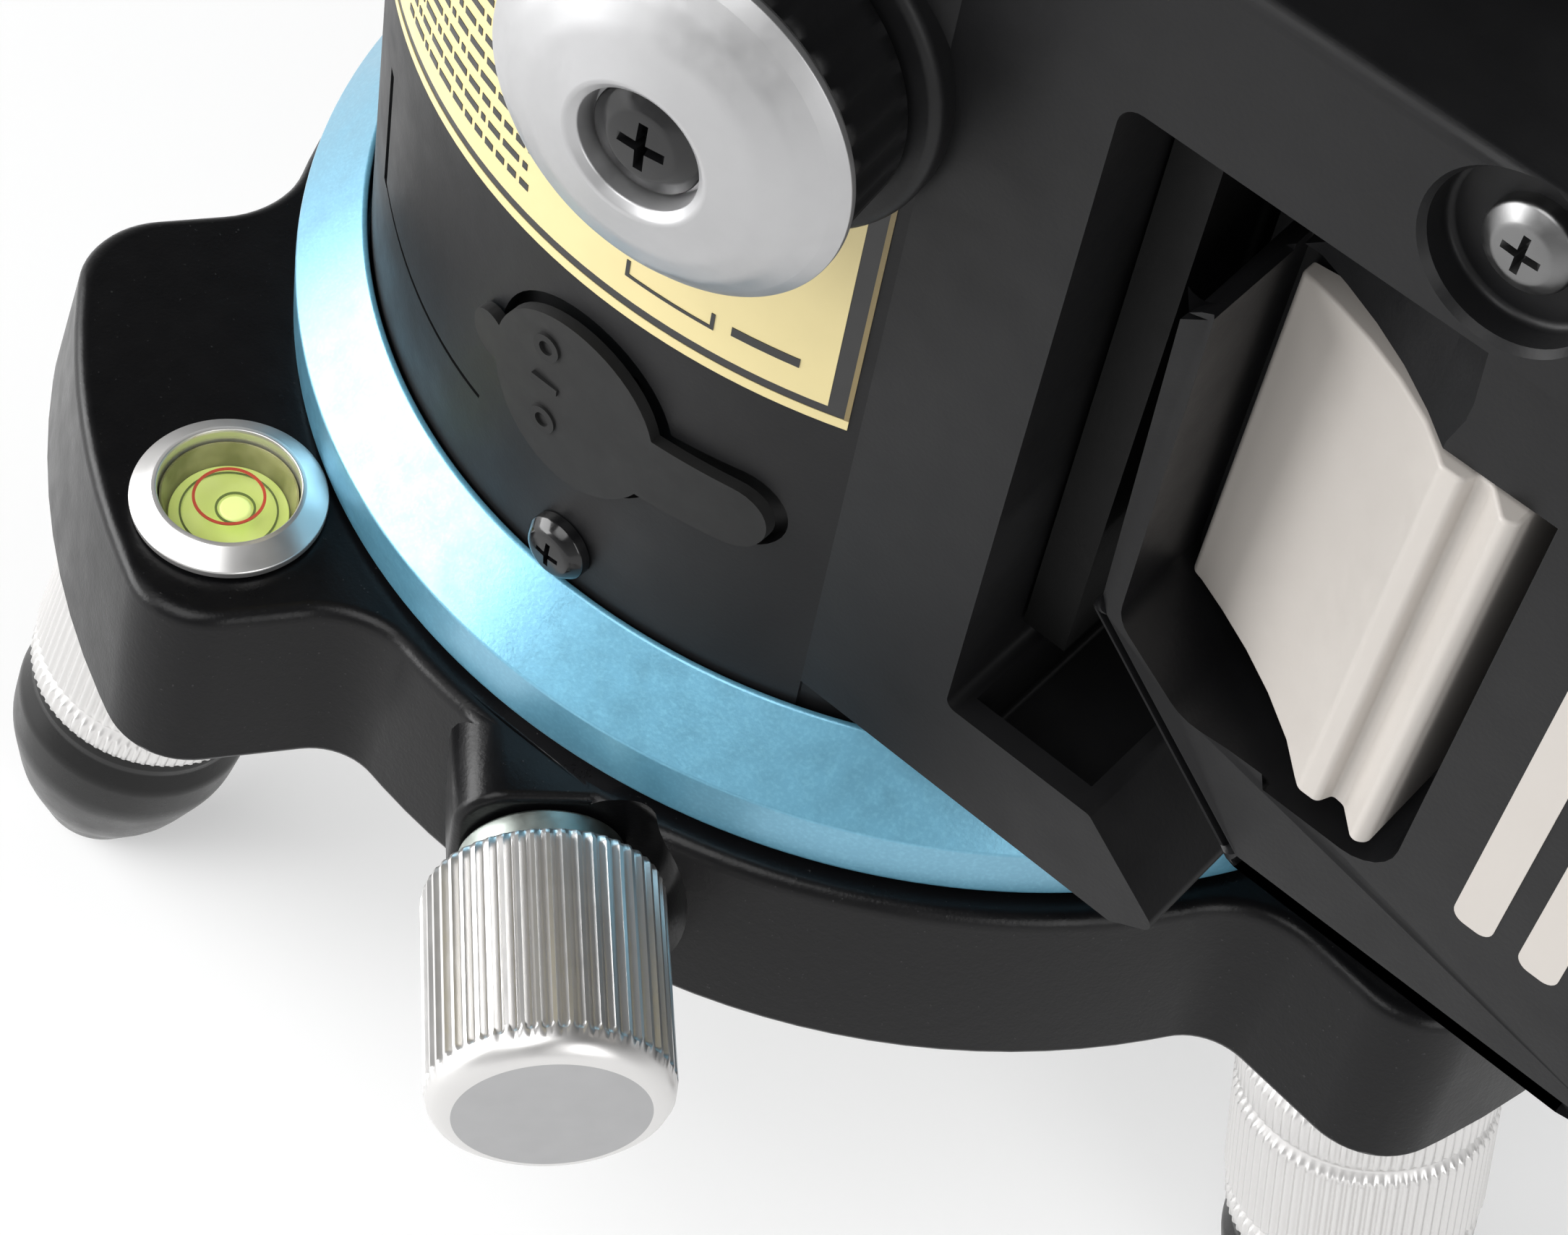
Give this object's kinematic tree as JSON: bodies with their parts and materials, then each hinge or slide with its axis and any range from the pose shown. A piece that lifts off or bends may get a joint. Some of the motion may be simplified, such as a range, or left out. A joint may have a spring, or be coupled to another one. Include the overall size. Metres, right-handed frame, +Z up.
{
  "type": "line laser level on a rotating levelling base",
  "caption": "Self-levelling line laser with a locking pendulum and slide-in battery, turning on a fine-adjust base with screw feet and a round vial.",
  "frame": {"origin": "on the surface that the feet stand on, under the middle of the whole level", "axes": "+Z is up, +X points from the turning axis towards the battery, and -Y is the side with the lock knob, the port and the release button"},
  "size_m": [0.1434, 0.1548, 0.2424],
  "materials": {
    "casting": "fine-textured black powder coat, worn bright on its rounded edges",
    "aluminium": "bright turned and knurled",
    "steel": "turned",
    "brass": "machined",
    "copper": "machined copper",
    "blue_anodised": "satin light-blue anodising",
    "housing": "satin black, finely eroded",
    "battery_plastic": "satin black",
    "pale_plastic": "warm light grey, satin",
    "rubber": "moulded black rubber",
    "black_screw": "glossy black",
    "window_glass": "smoked",
    "vial_glass": "clear",
    "vial_fluid": "yellow-green fluid with a bubble",
    "board": "green board",
    "label": "printed film"
  },
  "bodies": {
    "base": {"base_casting": "casting", "tripod_plate": "steel", "spindle_bush": "brass", "vial_bezel": "aluminium", "vial_body": "vial_fluid", "vial_glass": "vial_glass", "worm_collar": "steel", "worm_bearing": "brass"},
    "head": {"turntable": "aluminium", "retaining_nut": "steel", "worm_wheel": "brass", "turn_ring": "blue_anodised", "lower_housing": "housing", "battery_dock": "housing", "contact_block": "brass", "main_board": "board", "port_socket": "housing", "housing_screw_1": "black_screw", "housing_screw_2": "black_screw", "housing_screw_3": "black_screw", "head_shell": "housing", "window_front": "window_glass", "window_rear": "window_glass", "window_left": "window_glass", "window_right": "window_glass", "bumper_1": "rubber", "bumper_2": "rubber", "bumper_3": "rubber", "bumper_4": "rubber", "top_cap": "housing", "zenith_window": "window_glass", "chassis": "aluminium"},
    "worm": {"worm_shaft": "steel", "worm_knob": "aluminium"},
    "lock": {"lock_knob": "housing", "lock_cap": "aluminium", "lock_screw": "black_screw", "lock_shaft": "steel"},
    "flap": {"port_flap": "rubber"},
    "gimbal": {"gimbal_ring": "aluminium"},
    "pendulum": {"pendulum_frame": "aluminium", "laser_front": "brass", "laser_rear": "brass", "laser_left": "brass", "laser_right": "brass", "damper_plate": "copper"},
    "battery": {"battery_case": "battery_plastic"},
    "button": {"battery_button": "pale_plastic"},
    "key_1": {"key_1": "pale_plastic"},
    "key_2": {"key_2": "pale_plastic"},
    "foot_1": {"foot_pad_1": "rubber"},
    "wheel_1": {"foot_wheel_1": "aluminium", "foot_screw_1": "steel"},
    "foot_2": {"foot_pad_2": "rubber"},
    "wheel_2": {"foot_wheel_2": "aluminium", "foot_screw_2": "steel"},
    "foot_3": {"foot_pad_3": "rubber"},
    "wheel_3": {"foot_wheel_3": "aluminium", "foot_screw_3": "steel"}
  },
  "joints": [
    {"name": "head_turn", "type": "hinge", "parent": "base", "child": "head", "pos_m": [-0.0123, 0.00184, 0.067], "axis": [0, 0, 1], "continuous": true},
    {"name": "fine_turn", "type": "hinge", "parent": "base", "child": "worm", "pos_m": [-0.0055, -0.05566, 0.059], "axis": [0.7071, -0.7071, 0], "continuous": true},
    {"name": "lock_turn", "type": "hinge", "parent": "head", "child": "lock", "pos_m": [-0.0123, 0.00184, 0.1366], "axis": [0.1392, -0.9903, 0], "range_deg": [0, 90]},
    {"name": "flap_open", "type": "hinge", "parent": "head", "child": "flap", "pos_m": [-0.0241, -0.04636, 0.0968], "axis": [0, 0, -1], "range_deg": [0, 100]},
    {"name": "gimbal_tilt", "type": "hinge", "parent": "head", "child": "gimbal", "pos_m": [-0.0123, 0.00184, 0.212], "axis": [0.7071, 0.7071, 0], "range_deg": [-3, 3]},
    {"name": "pendulum_tilt", "type": "hinge", "parent": "gimbal", "child": "pendulum", "pos_m": [-0.0123, 0.00184, 0.212], "axis": [-0.7071, 0.7071, 0], "range_deg": [-3, 3]},
    {"name": "battery_slide", "type": "slide", "parent": "head", "child": "battery", "axis": [0, -1, 0], "range_m": [0, 0.1]},
    {"name": "battery_release", "type": "slide", "parent": "battery", "child": "button", "axis": [1, 0, 0], "range_m": [0, 0.0015], "stiffness_N_per_m": 900},
    {"name": "key_1_press", "type": "slide", "parent": "head", "child": "key_1", "axis": [0, 0, -1], "range_m": [0, 0.0012], "stiffness_N_per_m": 800},
    {"name": "key_2_press", "type": "slide", "parent": "head", "child": "key_2", "axis": [0, 0, -1], "range_m": [0, 0.0012], "stiffness_N_per_m": 800},
    {"name": "foot_1_extend", "type": "slide", "parent": "base", "child": "foot_1", "axis": [-0.1631, -0.1786, -0.9703], "range_m": [0, 0.006]},
    {"name": "foot_1_turn", "type": "hinge", "parent": "foot_1", "child": "wheel_1", "pos_m": [-0.05235, -0.04202, 0.051], "axis": [-0.1631, -0.1786, -0.9703], "range_deg": [0, 1440]},
    {"name": "foot_2_extend", "type": "slide", "parent": "base", "child": "foot_2", "axis": [0.2363, -0.0519, -0.9703], "range_m": [0, 0.006]},
    {"name": "foot_2_turn", "type": "hinge", "parent": "foot_2", "child": "wheel_2", "pos_m": [0.04571, -0.01091, 0.051], "axis": [0.2363, -0.0519, -0.9703], "range_deg": [0, 1440]},
    {"name": "foot_3_extend", "type": "slide", "parent": "base", "child": "foot_3", "axis": [-0.0731, 0.2306, -0.9703], "range_m": [0, 0.006]},
    {"name": "foot_3_turn", "type": "hinge", "parent": "foot_3", "child": "wheel_3", "pos_m": [-0.03026, 0.05846, 0.051], "axis": [-0.0731, 0.2306, -0.9703], "range_deg": [0, 1440]}
  ],
  "couplings": [
    {"joint": "fine_turn", "follows": "head_turn", "ratio": 36},
    {"joint": "foot_1_turn", "follows": "foot_1_extend", "rad_per_m": 4188.8},
    {"joint": "foot_2_turn", "follows": "foot_2_extend", "rad_per_m": 4188.8},
    {"joint": "foot_3_turn", "follows": "foot_3_extend", "rad_per_m": 4188.8}
  ]
}
